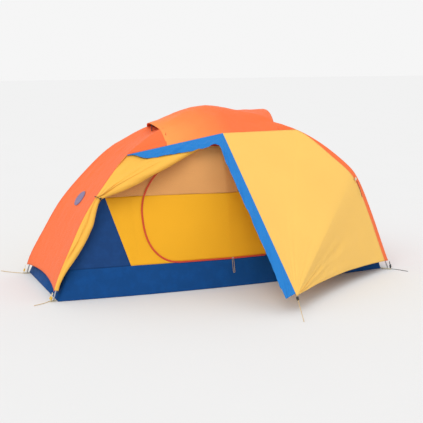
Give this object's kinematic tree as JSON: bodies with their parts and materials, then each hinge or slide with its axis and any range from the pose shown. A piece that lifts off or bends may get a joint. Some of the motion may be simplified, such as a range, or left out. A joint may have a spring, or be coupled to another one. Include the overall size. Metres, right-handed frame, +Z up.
{
  "type": "one-person tent on poles",
  "caption": "Freestanding dome tent: crossing poles and a brow pole under a full fly with an open front vestibule, mesh inner tent and bathtub floor.",
  "frame": {"origin": "middle of the floor's underside, halfway along its length", "axes": "+X towards the head end, -Y towards the door and vestibule, +Z up"},
  "size_m": [2.4086, 1.8467, 1.066],
  "materials": {
    "fly_orange": "ripstop nylon",
    "fly_yellow": "ripstop nylon",
    "flap_blue": "woven nylon",
    "floor_navy": "coated nylon",
    "corner_navy": "coated nylon",
    "mesh_tan": "fine netting",
    "inner_amber": "woven nylon",
    "pole_alloy": "anodised",
    "black_plastic": "moulded",
    "yellow_plastic": "moulded",
    "cream_webbing": "woven webbing",
    "zip_metal": "cast",
    "tan_cord": "braided",
    "dark_cord": "braided"
  },
  "bodies": {
    "tent": {"bathtub_floor": "floor_navy", "inner_corner_panel": "corner_navy", "inner_front_foot_side": "inner_amber", "inner_front_head_side": "inner_amber", "mesh_front_foot_side": "mesh_tan", "mesh_front_head_side": "mesh_tan", "inner_back_wall": "inner_amber", "mesh_back_wall": "mesh_tan", "inner_foot_wall": "inner_amber", "inner_head_wall": "inner_amber", "inner_canopy": "mesh_tan", "fly_foot_end": "fly_orange", "fly_head_end": "fly_orange", "fly_roof": "fly_orange", "fly_front_panel": "fly_yellow", "fly_back_panel": "fly_yellow", "fly_storm_flap": "flap_blue", "fly_door_roll": "fly_yellow", "pole_front_foot_lower": "pole_alloy", "pole_front_foot_upper": "pole_alloy", "pole_back_foot_lower": "pole_alloy", "pole_back_foot_upper": "pole_alloy", "pole_front_head_lower": "pole_alloy", "pole_front_head_upper": "pole_alloy", "pole_back_head_lower": "pole_alloy", "pole_back_head_upper": "pole_alloy", "pole_hub": "black_plastic", "brow_pole": "pole_alloy", "clip_front_foot": "black_plastic", "clip_back_foot": "black_plastic", "clip_front_head": "black_plastic", "clip_back_head": "black_plastic", "corner_webbing_front_foot": "cream_webbing", "fly_strap_front_foot": "cream_webbing", "stake_cord_front_foot": "tan_cord", "corner_webbing_back_foot": "cream_webbing", "fly_strap_back_foot": "cream_webbing", "stake_cord_back_foot": "tan_cord", "corner_webbing_front_head": "cream_webbing", "fly_strap_front_head": "dark_cord", "stake_cord_front_head": "dark_cord", "corner_webbing_back_head": "cream_webbing", "fly_strap_back_head": "dark_cord", "door_tie_loop": "dark_cord", "vestibule_cord": "tan_cord", "guy_tab_front_head": "fly_yellow", "guy_cord_front_head": "dark_cord"},
    "inner_door": {"inner_door_lower": "inner_amber", "inner_door_mesh": "mesh_tan"},
    "inner_zip": {"inner_zip_slider": "zip_metal", "inner_zip_pull": "tan_cord"},
    "fly_zip": {"fly_zip_slider": "zip_metal"},
    "foot_prop": {"vent_prop_foot": "black_plastic"},
    "head_prop": {"vent_prop_head": "black_plastic"},
    "toggle": {"door_toggle": "black_plastic"},
    "cord_lock": {"vestibule_cord_lock": "black_plastic"},
    "buckle_front_foot": {"corner_buckle_front_foot": "yellow_plastic"},
    "buckle_back_foot": {"corner_buckle_back_foot": "yellow_plastic"},
    "buckle_front_head": {"corner_buckle_front_head": "black_plastic"},
    "buckle_back_head": {"corner_buckle_back_head": "black_plastic"}
  },
  "joints": [
    {"name": "inner_door_swing", "type": "hinge", "parent": "tent", "child": "inner_door", "pos_m": [0.232, -0.44992, 0.1685], "axis": [0, -0.2547, -0.967], "range_deg": [0, 50]},
    {"name": "inner_zip_slide", "type": "slide", "parent": "tent", "child": "inner_zip", "axis": [0.9972, -0.0754, 0], "range_m": [-0.26, 0.18]},
    {"name": "fly_zip_slide", "type": "slide", "parent": "tent", "child": "fly_zip", "axis": [0.0497, -0.7126, -0.6998], "range_m": [0, 0.85]},
    {"name": "foot_prop_fold", "type": "hinge", "parent": "tent", "child": "foot_prop", "pos_m": [-0.34825, 0, 0.91639], "axis": [0, -1, 0], "range_deg": [0, 100]},
    {"name": "head_prop_fold", "type": "hinge", "parent": "tent", "child": "head_prop", "pos_m": [0.41689, 0, 0.94211], "axis": [0, 1, 0], "range_deg": [0, 100]},
    {"name": "toggle_turn", "type": "hinge", "parent": "tent", "child": "toggle", "pos_m": [-0.79334, -0.34316, 0.5729], "axis": [0.0439, -0.9962, 0.0746], "range_deg": [-60, 60]},
    {"name": "cord_lock_slide", "type": "slide", "parent": "tent", "child": "cord_lock", "axis": [-0.2087, -0.8067, -0.5529], "range_m": [0, 0.1]},
    {"name": "buckle_front_foot_slide", "type": "slide", "parent": "tent", "child": "buckle_front_foot", "axis": [0.3, -0.1328, 0.9446], "range_m": [0, 0.018]},
    {"name": "buckle_back_foot_slide", "type": "slide", "parent": "tent", "child": "buckle_back_foot", "axis": [0.3, 0.1328, 0.9446], "range_m": [0, 0.018]},
    {"name": "buckle_front_head_slide", "type": "slide", "parent": "tent", "child": "buckle_front_head", "axis": [-0.2577, 0.0516, 0.9648], "range_m": [0, 0.018]},
    {"name": "buckle_back_head_slide", "type": "slide", "parent": "tent", "child": "buckle_back_head", "axis": [-0.2577, -0.0516, 0.9648], "range_m": [0, 0.018]}
  ]
}
